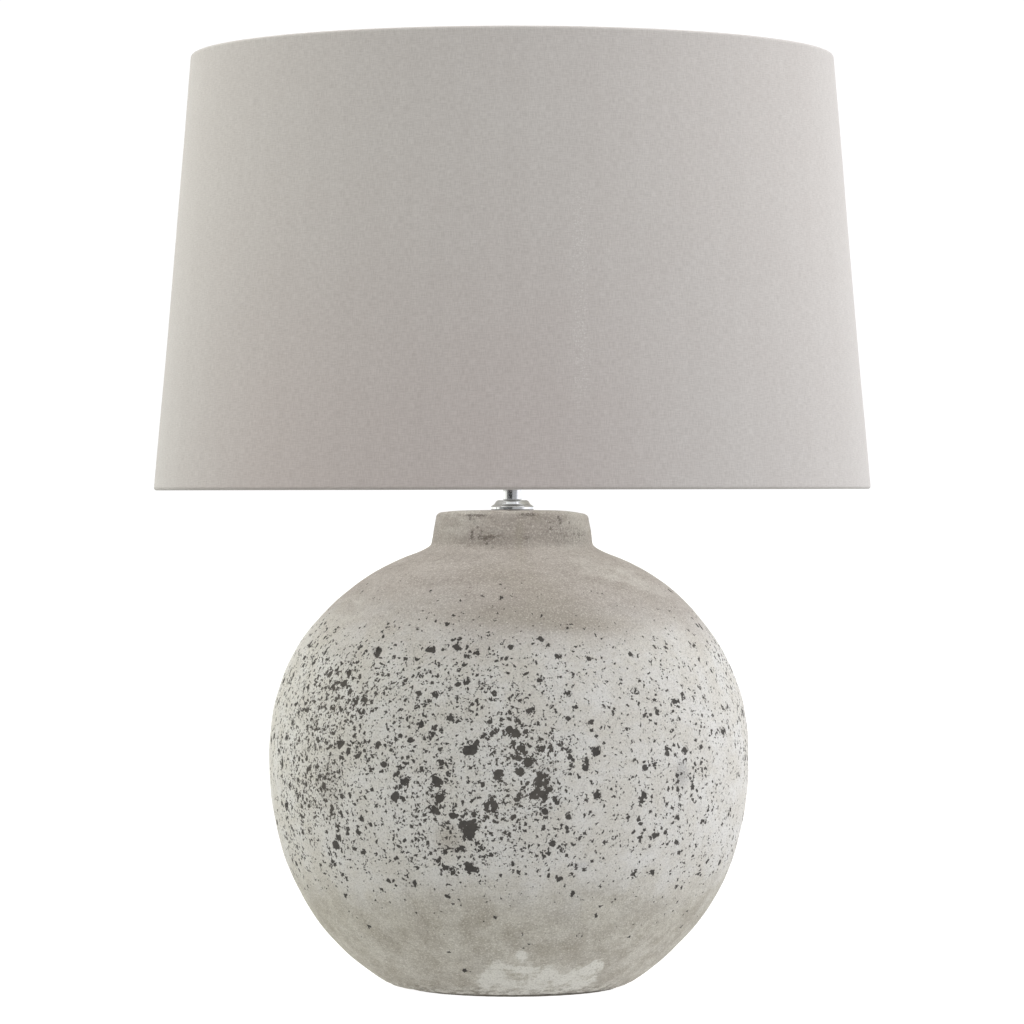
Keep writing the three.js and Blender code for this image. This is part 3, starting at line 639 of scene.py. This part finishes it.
def ceramic_material():
    """Whitewashed, pitted stoneware with a brown-grey wash on its shoulders, neck and lower body; on the
    shoulders and neck it is darkened further as painted shade from the lampshade.
    """
    p = Paint("whitewashed_ceramic")
    at = p.position()
    x, y, z = p.split(at)
    names = ("pit_edge", "crowd", "stain", "smudge", "neck_mark", "plaster")
    field = {name: p.attribute(name)["Fac"] for name in names}
    soft = p.noise(at, 55, 4, 0.6)
    cloud = p.noise(at, 24, 6, 0.62)
    fine = p.noise(at, 5, 6, 0.7)
    grain = p.noise(at, 1.0, 3, 0.6)
    brushed = p.noise(p.scaled(at, (0.35, 0.35, 1.6)), 14, 6, 0.68)
    ragged = p.add(p.about(cloud, 0.9), p.about(fine, 0.7))

    # The whitewash, from cool to warm, then the wash that shows through it high and low on the body; high
    # up it is darker than the wash alone, as painted shade under the lampshade.
    colour = p.mix(p.step(cloud, 0.35, 0.66), (0.69, 0.665, 0.63), (0.775, 0.765, 0.762))
    colour = p.mix(p.times(p.step(brushed, 0.52, 0.72), 0.45), colour, (0.6, 0.565, 0.51))
    wash = p.mix(p.step(brushed, 0.32, 0.68), (0.375, 0.326, 0.308), (0.5, 0.453, 0.435))
    height = p.add(z, p.about(soft, 46))
    height = p.add(height, p.about(brushed, 26))
    high = p.times(p.step(height, 204, 254), 0.9)
    low = p.times(p.step(height, 92, 48), 0.78)
    colour = p.mix(high, colour, wash)
    low_tone = p.mix(p.step(p.noise(at, 17, 7, 0.7), 0.36, 0.64), (0.34, 0.302, 0.235), (0.57, 0.542, 0.47))
    colour = p.mix(low, colour, low_tone)
    # Painted shade: the neck and the top of the shoulders, under the lampshade, are a little darker.
    colour = p.over(colour, (0.31, 0.275, 0.25), z, 268, 280, 0.12)

    # The wash is scratched and fibrous.
    fibre = p.noise(p.scaled(at, (0.8, 0.8, 1.5)), 2.6, 5, 0.8)
    washed = p.math("MAXIMUM", p.math("MAXIMUM", high, low), 0.3)
    colour = p.mix(p.times(washed, p.step(fibre, 0.5, 0.66, 0.0, 0.48)), colour, (0.245, 0.205, 0.18))
    colour = p.mix(p.times(washed, p.step(fibre, 0.46, 0.32, 0.0, 0.44)), colour, (0.72, 0.69, 0.65))

    stain = p.add(field["stain"], p.times(ragged, 0.55))
    colour = p.over(colour, (0.36, 0.315, 0.265), stain, 0.12, 0.75, 0.75)
    pale_patch = p.times(p.step(stain, -0.12, -0.5), p.step(brushed, 0.4, 0.6))
    colour = p.mix(p.times(pale_patch, 0.6), colour, (0.68, 0.66, 0.63))
    smudge = p.add(field["smudge"], p.times(ragged, 0.8))
    colour = p.over(colour, (0.25, 0.25, 0.28), smudge, 0.3, 0.9, 0.45)

    plaster = p.add(field["plaster"], p.about(p.noise(p.scaled(at, (1, 1, 2.2)), 9, 6, 0.7), 1.3))
    plaster = p.step(plaster, 0.36, 0.6)
    crumbs = p.step(p.noise(at, 11, 7, 0.72), 0.34, 0.52)
    plaster_colour = p.mix(crumbs, (0.48, 0.45, 0.38), (0.84, 0.83, 0.78))
    colour = p.mix(p.times(plaster, 0.8), colour, plaster_colour)
    rim = p.step(p.add(z, p.about(fine, 16)), 9, 3)
    flakes = p.step(p.noise(p.scaled(at, (0.7, 0.7, 1.7)), 4, 4, 0.7), 0.45, 0.56)
    colour = p.mix(p.times(rim, 0.62), colour, p.mix(flakes, (0.22, 0.19, 0.145), (0.76, 0.74, 0.68)))

    # The neck is paler at its left and right sides.
    aside = p.times(p.step(p.math("ABSOLUTE", x), 26, 46), p.step(z, 272, 284))
    colour = p.mix(p.times(aside, 0.4), colour, (0.6, 0.565, 0.525))

    # Dark marks on the neck, and round them a crackle of thin curling lines.
    mark = p.add(field["neck_mark"], p.about(p.noise(at, 1.7, 3, 0.75), 1.5))
    curl = p.math("ABSOLUTE", p.add(p.noise(at, 2.4, 3, 0.6), -0.5))
    lines = p.times(p.step(curl, 0.035, 0.01), p.step(field["neck_mark"], 0.08, 0.3))
    mark = p.math("MAXIMUM", p.step(mark, 0.5, 0.62), p.times(lines, 0.75))
    colour = p.mix(p.times(mark, 0.8), colour, (0.13, 0.107, 0.095))

    colour = p.over(colour, (0.8, 0.785, 0.75), fine, 0.35, 0.7, 0.16)
    colour = p.over(colour, (0.3, 0.275, 0.255), grain, 0.5, 0.75, 0.6)
    colour = p.over(colour, (0.9, 0.88, 0.84), grain, 0.5, 0.28, 0.54)

    pits = pit_layers(p, at, field["crowd"])
    # The large pits' edges are broken into flakes.
    flake = p.split(p.cells(at, 2.1, "MANHATTAN")[1])[0]
    edge = p.add(field["pit_edge"], p.about(p.noise(at, 5.5, 1, 0.5), 5.5))
    edge = p.add(edge, p.about(flake, 2.4))
    pits = p.math("MAXIMUM", pits, p.step(edge, 0.25, 0.05))
    pit_colour = p.mix(p.noise(at, 3, 3), (0.036, 0.034, 0.034), (0.088, 0.078, 0.072))
    pit_colour = p.over(pit_colour, (0.12, 0.105, 0.09), field["crowd"], 0.5, 1.0, 0.35)
    colour = p.mix(p.times(pits, 0.95), colour, pit_colour)

    relief = p.add(p.times(fine, 0.3), p.times(grain, 0.12))
    relief = p.add(relief, p.times(plaster, 0.35))
    relief = p.math("SUBTRACT", relief, pits)
    normal = p.bump(relief, 0.0006, strength=0.7)
    return p.surface(Base_Color=colour, Roughness=0.88, Normal=normal, Specular_IOR_Level=0.3)


def pit_layers(p, at, crowd):
    """Small pits of five sizes, and specks, all ragged and angular and as crowded as crowd says."""
    def shift(size, reach):
        drawn = p.vector("SUBTRACT", p.noise(at, size, 2, 0.6, colour=True), (0.5, 0.5, 0.5))
        return p.scaled(drawn, (2 * reach,) * 3)

    bent = p.vector("ADD", p.vector("ADD", at, shift(4.0, 2.6)), shift(1.5, 0.6))
    clumps = p.step(p.noise(at, 11, 3, 0.6), 0.36, 0.64, 0.5, 1.4)
    here = p.times(crowd, clumps)
    pits = None
    layers = (
        (9, 0.05, 1.0, "EUCLIDEAN"), (5.5, 0.4, 1.3, "MANHATTAN"), (3.6, 0.92, 0.86, "CHEBYCHEV"),
        (2.4, 1.25, 1.35, "MANHATTAN"), (1.7, 0.35, 1.0, "EUCLIDEAN"),
    )
    for size, share, reach, measure in layers:
        distance, chance = p.cells(bent, size, measure)
        drawn = p.split(chance)
        radius = p.times(p.add(p.times(drawn[1], 0.23), 0.18), reach)
        present = p.math("LESS_THAN", drawn[0], p.times(here, share))
        layer = p.times(p.step(p.math("SUBTRACT", radius, distance), -0.02, 0.03), present)
        pits = layer if pits is None else p.math("MAXIMUM", pits, layer)
    specks = p.add(p.noise(bent, 2.2, 2, 0.6), p.times(here, 0.11))
    return p.math("MAXIMUM", pits, p.step(specks, 0.79, 0.81))


# ---- other materials
def speckled(name, low, high, size, roughness, relief, **extra):
    """A material with slight colour variation and a fine uneven surface."""
    p = Paint(name)
    at = p.position()
    share = p.noise(at, size, 4, 0.6)
    rough = p.step(p.noise(at, size * 0.5, 3), 0.3, 0.7, roughness * 0.85, roughness * 1.15)
    normal = p.bump(p.noise(at, size * 0.15, 3, 0.6), relief)
    return p.surface(Base_Color=p.mix(share, low, high), Roughness=rough, Normal=normal, **extra)


def metal(name, low, high, roughness, tarnish=(0.5, 0.45, 0.4)):
    """A bare metal with fine machining lines, uneven polish and a little tarnish."""
    p = Paint(name)
    at = p.position()
    lines = p.noise(p.scaled(at, (1, 1, 6)), 1.2, 3, 0.6)
    smear = p.noise(at, 6, 4, 0.6)
    colour = p.mix(lines, low, high)
    colour = p.over(colour, tarnish, smear, 0.55, 0.75, 0.35)
    rough = p.step(smear, 0.3, 0.75, roughness * 0.7, roughness * 1.4)
    return p.surface(Base_Color=colour, Metallic=1.0, Roughness=rough, Normal=p.bump(lines, 0.00001))


def chrome_material():
    p = Paint("polished_chrome")
    at = p.position()
    smear = p.noise(p.scaled(at, (1, 1, 0.3)), 3, 4, 0.6)
    rough = p.step(smear, 0.35, 0.75, 0.03, 0.1)
    normal = p.bump(p.noise(at, 0.6, 2), 0.000004)
    return p.surface(Base_Color=(0.6, 0.61, 0.64), Metallic=1.0, Roughness=rough, Normal=normal)


def felt_material():
    p = Paint("wool_felt")
    at = p.position()
    fibres = p.noise(at, 1.2, 6, 0.75)
    colour = p.mix(fibres, (0.15, 0.138, 0.122), (0.32, 0.3, 0.265))
    return p.surface(Base_Color=colour, Roughness=1.0, Normal=p.bump(fibres, 0.0004), Sheen_Weight=0.5)


def board_material():
    """White solder mask with a few printed pads and lines."""
    p = Paint("white_circuit_board")
    at = p.position()
    distance, chance = p.cells(at, 5)
    pads = p.times(p.step(distance, 0.28, 0.24), p.math("LESS_THAN", p.split(chance)[0], 0.35))
    lines = p.step(p.math("SINE", p.times(p.split(at)[0], 2.1)), 0.9, 0.96)
    colour = p.mix(p.noise(at, 8, 3), (0.74, 0.76, 0.74), (0.8, 0.82, 0.8))
    colour = p.mix(p.times(lines, 0.35), colour, (0.55, 0.6, 0.56))
    colour = p.mix(pads, colour, (0.62, 0.6, 0.55))
    return p.surface(Base_Color=colour, Roughness=0.4, Normal=p.bump(pads, 0.0001))


def linen_material():
    """Warm grey linen: thin uneven threads both ways, with slubs, streaks and a soft mottle."""
    p = Paint("grey_linen")
    along, up, _ = p.split(p.attribute("weave")["Vector"])
    warp = p.noise(p.join(along, p.times(up, 0.1), 0.0), 0.5, 2, 0.6)
    weft = p.noise(p.join(p.times(along, 0.1), up, 3.0), 0.5, 2, 0.6)
    slub = p.noise(p.join(p.times(along, 0.07), up, 7.0), 0.9, 2, 0.6)
    streak = p.noise(p.join(along, p.times(up, 0.05), 5.0), 9, 4, 0.65)
    mottle = p.noise(p.join(along, up, 0.0), 34, 4, 0.6)
    threads = p.times(p.add(warp, weft), 0.5)
    z = p.split(p.position())[2]
    # The colour is darker and pinker low down, most of all left of the middle.
    pink = p.step(p.math("ABSOLUTE", p.add(along, 70)), 210, 60)
    low_colour = p.mix(pink, (0.57, 0.538, 0.532), (0.555, 0.497, 0.492))
    colour = p.mix(p.step(z, SHADE_BOTTOM, SHADE_TOP - 60), low_colour, (0.616, 0.58, 0.57))
    colour = p.over(colour, (0.2, 0.18, 0.17), threads, 0.64, 0.36, 0.17)
    colour = p.over(colour, (0.9, 0.89, 0.87), threads, 0.36, 0.64, 0.14)
    colour = p.over(colour, (0.82, 0.8, 0.77), slub, 0.62, 0.8, 0.12)
    colour = p.over(colour, (0.3, 0.27, 0.26), streak, 0.65, 0.35, 0.035)
    colour = p.over(colour, (0.44, 0.36, 0.34), mottle, 0.65, 0.35, 0.04)
    # A soft upright line of painted glint on the threads, right of the middle.
    glint_line_distance = p.math("ABSOLUTE", p.add(along, -40))
    painted_glint = p.times(p.step(glint_line_distance, 9, 0), p.step(p.noise(p.join(along, up, 9.0), 1.1, 2, 0.7), 0.52, 0.7))
    painted_glint = p.times(painted_glint, p.times(p.step(z, 350, 380), p.step(z, 510, 480)))
    colour = p.mix(p.times(painted_glint, 0.5), colour, (0.85, 0.84, 0.83))
    # Painted shade: a thin darker line along the underside of the bottom hem.
    colour = p.over(colour, (0.25, 0.24, 0.22), z, SHADE_BOTTOM + 2.0, SHADE_BOTTOM + 0.8, 0.35)
    normal = p.bump(p.add(threads, p.times(p.step(slub, 0.6, 0.8), 0.4)), 0.00009, strength=0.7)
    sheen = {"Sheen_Weight": 0.3, "Sheen_Roughness": 0.45}
    return p.surface(Base_Color=colour, Roughness=0.92, Normal=normal, Specular_IOR_Level=0.2, **sheen)


def all_materials():
    """One material for each of the record's slots."""
    return {
        "ceramic": ceramic_material(),
        "felt": felt_material(),
        "rubber": speckled("black_rubber", (0.012, 0.012, 0.012), (0.03, 0.029, 0.028), 4, 0.65, 0.00006),
        "chrome": chrome_material(),
        "steel": metal("zinc_plated_steel", (0.48, 0.49, 0.5), (0.62, 0.63, 0.64), 0.36),
        "brass": metal("brass", (0.6, 0.43, 0.16), (0.74, 0.56, 0.25), 0.28, tarnish=(0.42, 0.27, 0.12)),
        "nickel": metal("nickel_plate", (0.58, 0.57, 0.53), (0.7, 0.69, 0.65), 0.22),
        "white_plastic": speckled(
            "white_moulded_plastic", (0.76, 0.75, 0.71), (0.82, 0.81, 0.78), 14, 0.35, 0.00003,
            Coat_Weight=0.15,
        ),
        "black_glass": speckled(
            "black_glass", (0.006, 0.006, 0.007), (0.014, 0.013, 0.013), 5, 0.12, 0.00001,
        ),
        "porcelain": speckled("glazed_porcelain", (0.74, 0.71, 0.65), (0.83, 0.81, 0.76), 9, 0.16, 0.00003),
        "frosted_globe": speckled(
            "frosted_diffuser", (0.85, 0.84, 0.81), (0.9, 0.89, 0.87), 18, 0.42, 0.00002,
            Subsurface_Weight=0.25, Subsurface_Radius=(0.004, 0.004, 0.0035),
        ),
        "white_wire": speckled(
            "white_coated_wire", (0.72, 0.71, 0.68), (0.8, 0.79, 0.77), 8, 0.4, 0.00004,
        ),
        "circuit_board": board_material(),
        "shade_liner": speckled(
            "laminated_lining", (0.78, 0.76, 0.71), (0.85, 0.83, 0.79), 40, 0.5, 0.00004,
        ),
        "linen": linen_material(),
    }


# ---- the shade
def shade_radius(z):
    share = (z - SHADE_BOTTOM) / (SHADE_TOP - SHADE_BOTTOM)
    return SHADE_BOTTOM_RADIUS + (SHADE_TOP_RADIUS - SHADE_BOTTOM_RADIUS) * share


def wire_centre(node):
    return box_mm(node)[1].x - WIRE_RADIUS, middle_z(node)


def cover_line():
    """The middle of the fabric: down inside the top wire, over it, down the side, and up inside the bottom
    wire, listed from the bottom hem's end to the top hem's end."""
    half = COVER_THICKNESS / 2

    def side(z):
        """A point on the side, which bulges slightly near the bottom."""
        return shade_radius(z) - half - 0.25 + 0.9 * math.exp(-(((z - SHADE_BOTTOM) / 70) ** 2)), z

    low, high = SHADE_BOTTOM + half, SHADE_TOP - half - 0.3
    inside_low = wire_centre("shade_bottom_wire")[0] - WIRE_RADIUS - 0.2 - half
    inside_high = wire_centre("shade_top_wire")[0] - WIRE_RADIUS - 0.2 - half
    slope = (SHADE_BOTTOM_RADIUS - SHADE_TOP_RADIUS) / (SHADE_TOP - SHADE_BOTTOM) * HEM
    corner = 1.7
    bottom = [(inside_low - slope / 2, low + HEM / 2), (inside_low, low), side(low), side(low + 6)]
    top = [side(high - 6), side(high), (inside_high, high), (inside_high + slope / 2, high - HEM / 2)]
    line = [(inside_low - slope, low + HEM)] + rounded(bottom, corner, 8, closed=False)
    line += [side(z) for z in np.linspace(low + 12, high - 12, 44)]
    return line + rounded(top, corner, 8, closed=False) + [(inside_high + slope, high - HEM)]


def directions(line):
    """The way along a line at each of its points, of length 1."""
    way = np.gradient(line, axis=0)
    return way / np.linalg.norm(way, axis=1)[:, None]


def thicken(line, thickness):
    """A closed profile round a centre line; the outside runs upwards."""
    pts = np.array(line)
    way = directions(pts)
    side = np.stack([way[:, 1], -way[:, 0]], axis=1) * thickness / 2
    return [tuple(p) for p in np.vstack([pts + side, (pts - side)[::-1]])]


def make_cover():
    line = cover_line()
    seam_half, seam_step, hem_rows = 6.0, 0.35, 14

    def reshape(row, radius, z, angle):
        across = abs(math.remainder(angle - math.pi / 2, TAU)) * radius
        lap = seam_step * (1 if across < seam_half else max(0, 1 - (across - seam_half) / 1.2))
        on_side = hem_rows < row < len(line) - hem_rows
        ripple = 0.22 * noise.noise(Vector((math.cos(angle), math.sin(angle), z / 180)) * 3)
        return radius + (lap if on_side else 0) + ripple

    points, faces = revolve(thicken(line, COVER_THICKNESS), 384, reshape)
    points = np.array(points)
    # The hem isn't quite level: it hangs a little lower on the left.
    hang = rise(points[:, 2], SHADE_BOTTOM + 60, SHADE_BOTTOM)
    points[:, 2] += 0.5 * points[:, 0] / SHADE_BOTTOM_RADIUS * hang
    cover = finish_mesh("fabric_cover", "shade_cover", points, faces, sharp=70)
    # Distance round and up the cloth in millimetres, so that its threads follow it.
    middle = (SHADE_BOTTOM_RADIUS + SHADE_TOP_RADIUS) / 2
    angle = np.arctan2(points[:, 0], -points[:, 1])
    weave = np.stack([angle * middle, points[:, 2], np.zeros(len(points))], axis=1)
    store(cover, "weave", weave, "FLOAT_VECTOR")


def make_liner():
    low, high = SHADE_BOTTOM + 3.2, SHADE_TOP - 3.2
    inset = COVER_THICKNESS + 0.95
    outer = [(shade_radius(z) - inset, z) for z in np.linspace(low, high, 13)]
    inner = [(r - LINER_THICKNESS, z) for r, z in outer[::-1]]
    turned("lining", "shade_liner", outer + inner, 240)


def make_wire(name, node):
    radius, z = wire_centre(node)
    turns = [TAU * k / 16 for k in range(16)]
    ring = [(radius + WIRE_RADIUS * math.cos(a), z + WIRE_RADIUS * math.sin(a)) for a in turns]
    turned(name, node, ring, 240)


def make_arm(index):
    """A wire from under the fitter ring, bent down, straight out, and bent level on the bottom wire."""
    node = f"shade_arm_{index + 1}"
    bottom_r, bottom_z = wire_centre("shade_bottom_wire")
    inner_z, outer_z = box_mm("fitter_ring")[0].z - WIRE_RADIUS, bottom_z + 2 * WIRE_RADIUS
    start_r, first_bend, last_bend = 25.0, 34.2, 210.7
    corners = [(start_r, inner_z), (first_bend, inner_z), (last_bend, outer_z), (bottom_r, outer_z)]
    line = np.array(rounded(corners, 5, 6, closed=False))
    way = directions(line)
    # Both ends are round.
    cap = 4
    turns = [math.pi / 2 * k / cap for k in range(cap, 0, -1)]
    start = [line[0] - way[0] * WIRE_RADIUS * math.sin(turn) for turn in turns]
    end = [line[-1] + way[-1] * WIRE_RADIUS * math.sin(turn) for turn in turns[::-1]]
    shrunk = [WIRE_RADIUS * max(0.02, math.cos(turn)) for turn in turns]
    widths = shrunk + [WIRE_RADIUS] * len(line) + shrunk[::-1]
    ways = [way[0]] * cap + list(way) + [way[-1]] * cap
    angle = math.pi / 3 + index * TAU / 3
    out = np.array((math.cos(angle), math.sin(angle)))
    across = np.array((-out[1], out[0]))
    sides = 16
    points = []
    for (r, z), (dr, dz), width in zip([*start, *line, *end], ways, widths):
        for k in range(sides):
            a = TAU * k / sides
            aside, up = width * math.cos(a), width * math.sin(a)
            x, y = out * (r - up * dz) + across * aside
            points.append((x, y, z + up * dr))
    rows = len(widths)
    faces = grid_faces(rows, sides, closed_rows=False)
    faces.append(tuple(range(sides - 1, -1, -1)))
    faces.append(tuple(range((rows - 1) * sides, rows * sides)))
    finish_mesh(f"fitter_arm_{index + 1}", node, points, faces, sharp=60)


# ---- foot, outlet, cap and stem
def make_felt():
    high = box_mm("base_felt")[1]
    profile = rounded([(0, 0.02), (high.x, 0.02), (high.x, high.z), (0, high.z)], 0.5, 4, closed=False)

    def reshape(row, radius, z, angle):
        """The cut edge is slightly uneven."""
        fray = 0.25 * math.sin(angle * 41 + 3 * math.sin(angle * 7))
        return radius + (fray if radius > high.x - 1 else 0)

    turned("felt_pad", "base_felt", profile, 256, reshape)


def make_grommet():
    bore, waist, flange, thickness, outside, inside = 5.5, 7.2, 10.0, 1.3, 0.2, -6.9
    corners = [
        (bore, inside - thickness), (waist + 2, inside - thickness), (waist + 2, inside), (waist, inside),
        (waist, outside), (flange, outside), (flange - 0.4, outside + thickness),
        (bore, outside + thickness),
    ]
    points, faces = revolve(rounded(corners, 0.5, 4), 96)
    start, axis = outlet_line()
    turn = Vector((0, 0, 1)).rotation_difference(axis)
    points = [tuple(start + turn @ Vector(point)) for point in points]
    finish_mesh("flex_grommet_soft", "flex_grommet", points, faces)


def make_cap_and_stem():
    low, high = box_mm("vase_cap")
    rim, cone, seat, bore, skirt = high.x, high.x - 0.4, 9.2, 5.2, 11.8
    rim_top = low.z + 2.0
    corners = [
        (skirt, low.z), (rim, low.z), (rim, rim_top), (cone, rim_top + 0.45), (cone - 1.7, rim_top + 1.5),
        (seat + 1.1, high.z - 0.8), (seat, high.z), (bore, high.z), (bore, rim_top), (skirt, rim_top),
    ]
    turned("vase_cap_spun", "vase_cap", rounded(corners, 0.35, 4), 160)
    sleeve("stem_tube", "stem_sleeve", bore, 128, 0.3)


# ---- lampholder
def make_holder_cap():
    low, high = box_mm("holder_cap")
    bore, neck, cup, wall = 5.3, 8.5, high.x, 1.6
    floor_z = low.z + 11.7
    corners = [
        (bore, low.z), (neck, low.z), (neck, floor_z - 6), (16, floor_z - 3), (20.5, floor_z),
        (cup, floor_z + 3.5), (cup, high.z - 7.0), (cup - 0.5, high.z - 6.6), (cup - 0.5, high.z - 6.0),
        (cup, high.z - 5.6), (cup, high.z), (cup - wall, high.z), (cup - wall, floor_z + 4),
        (18.5, floor_z + 1), (bore, floor_z),
    ]
    profile = rounded(corners, 0.5, 3)
    ribs, rib_depth = 60, 0.35
    grip_low, grip_high = high.z - 5.0, high.z - 0.6

    def reshape(row, radius, z, angle):
        if radius < cup - 0.01 or not grip_low < z < grip_high:
            return radius
        return radius - rib_depth * 0.5 * (1 - math.cos(ribs * angle))

    at = max(i for i, (r, z) in enumerate(profile) if r > cup - 0.01 and z < grip_low + 0.2) + 1
    profile[at:at] = rows_between(cup, grip_low, grip_high, 0.4)
    holder = turned("lampholder_cap", "holder_cap", profile, 480, reshape)
    drill(holder, 3.1, Vector((0, 0, middle_z("switch_bar"))), Vector((1, 0, 0)), 60, sharp=35)
    drill(holder, 1.8, Vector((0, 8, middle_z("holder_grub_screw"))), Vector((0, 1, 0)), 8, sharp=35)


def make_holder_skirt():
    low, high = box_mm("holder_skirt")
    flange, minor, bore, lip = high.x, 19.2, 16.5, 15.8
    thread_low, thread_high = low.z + 2.7, high.z - 1.5
    corners = [(flange, low.z), (flange, low.z + 1.9), (minor, low.z + 1.9), (minor, low.z + 2.6)]
    profile = rounded([(bore, low.z)] + corners, 0.3, 3, closed=False)
    profile += rows_between(minor, thread_low, thread_high, 0.29)
    corners = [(minor - 0.1, high.z - 1.0), (minor - 0.6, high.z), (lip, high.z), (lip, high.z - 1.6)]
    profile += rounded(corners + [(bore, high.z - 2.6)], 0.3, 3, closed=False)
    shape = thread((minor,), thread_low, thread_high, 3.5, 0.6)
    turned("lampholder_skirt", "holder_skirt", profile, 144, shape)


def make_screw_shell():
    low, high = box_mm("holder_screw_shell")
    inner, wall = 13.45, 0.5
    thread_low = low.z + 3.2
    outside = rows_between(inner + wall, thread_low, high.z, 0.3)
    inside = [(inner, z) for _, z in outside[::-1]]
    profile = [(inner, low.z), (inner + wall, low.z)] + outside + inside
    shape = thread((inner, inner + wall), thread_low, high.z, LAMP_PITCH, 0.7)
    turned("lampholder_shell", "holder_screw_shell", profile, 128, shape)


def make_switch_bar():
    """A round bar along X, with a groove near each end."""
    low, high = box_mm("switch_bar")
    middle = middle_z("switch_bar")
    radius = high.z - middle
    waist = radius - 0.35
    groove = [(radius, 4.0), (waist, 4.4), (waist, 5.0), (radius, 5.4)]
    corners = [(0, low.x), (radius, low.x)] + [(r, low.x + along) for r, along in groove]
    corners += [(r, high.x - along) for r, along in groove[::-1]] + [(radius, high.x), (0, high.x)]
    points, faces = revolve(rounded(corners, 0.7, 4, closed=False), 64)
    points = [(along, x, middle + y) for x, y, along in points]
    finish_mesh("switch_push_bar", "switch_bar", points, faces)


def make_fluted_ring(name, node):
    outer = box_mm(node)[1].x
    flutes, flute = 24, 0.6

    def reshape(row, radius, z, angle):
        if radius < outer - 1.2:
            return radius
        return radius - flute * 0.5 * (1 - math.cos(flutes * angle))

    sleeve(name, node, RING_BORE, 288, 0.7, reshape)


# ---- bulb
def make_bulb_contacts():
    low, high = box_mm("bulb_tip_contact")
    tip = [(0, low.z), (3.0, low.z + 0.15), (4.5, low.z + 0.9), (4.5, high.z), (0, high.z)]
    turned("bulb_tip", "bulb_tip_contact", rounded(tip, 0.5, 3, closed=False), 64)

    low, high = box_mm("bulb_cap_insulator")
    disc = [(0, low.z), (5, low.z), (high.x, high.z - 0.9), (high.x, high.z), (0, high.z)]
    disc = rounded(disc, 0.5, 3, closed=False)
    turned("bulb_insulator", "bulb_cap_insulator", disc, 96)

    low, high = box_mm("bulb_cap")
    minor, wall = 12.3, 0.5
    thread_low = low.z + 1.7
    thread_high = thread_low + 5 * LAMP_PITCH
    corners = [(10, low.z + 0.8), (10, low.z), (11, low.z), (minor, thread_low - 0.1)]
    profile = rounded(corners, 0.3, 3, closed=False)
    profile += rows_between(minor, thread_low, thread_high, 0.3)
    profile += [(minor, high.z), (minor - wall, high.z), (minor - wall, low.z + 2.4)]
    shape = thread((minor,), thread_low, thread_high, LAMP_PITCH, 0.8)
    turned("bulb_screw_cap", "bulb_cap", profile, 128, shape)


def make_bulb_body():
    low, high = box_mm("bulb_collar")
    wall, neck = 1.4, 14.2
    side = []
    for t in np.linspace(0, 1, 28):
        swell = math.sin(t * math.pi / 2) ** 1.15
        side.append((neck + (high.x - neck) * swell, low.z + (high.z - low.z) * t))
    inside = [(r - wall, z) for r, z in side[::-1]]
    turned("bulb_body", "bulb_collar", side + inside, 128)

    low, high = box_mm("bulb_globe")
    radius, wall = 30.0, 1.2
    centre = high.z - radius

    def arc(r):
        angles = np.linspace(math.asin((low.z - centre) / r), math.pi / 2, 40)[:-1]
        return [(r * math.cos(a), centre + r * math.sin(a)) for a in angles] + [(0, centre + r)]

    profile = arc(radius - wall)[::-1] + arc(radius)
    turned("bulb_diffuser", "bulb_globe", profile, 128)


# ---- assembly
def dress_others():
    """Gives each CAD node that no piece stands for its slot's material; its own shape stays."""
    for node, piece in frame["nodes"].items():
        if not piece.hide_render:
            for material_slot in piece.material_slots:
                material_slot.material = paints[SLOTS[node]]


add_camera()
add_world()
add_floor()
paints = all_materials()

make_ceramic()
make_felt()
make_grommet()
make_cap_and_stem()

make_holder_cap()
make_holder_skirt()
make_screw_shell()
make_switch_bar()
make_fluted_ring("seat_ring_fluted", "shade_seat_ring")
make_fluted_ring("retaining_ring_fluted", "shade_retaining_ring")
make_bulb_contacts()
make_bulb_body()

make_cover()
make_liner()
make_wire("bottom_wire", "shade_bottom_wire")
make_wire("top_wire", "shade_top_wire")
sleeve("fitter_plate", "fitter_ring", FITTER_BORE, 144, 0.6)
for index in range(3):
    make_arm(index)

dress_others()
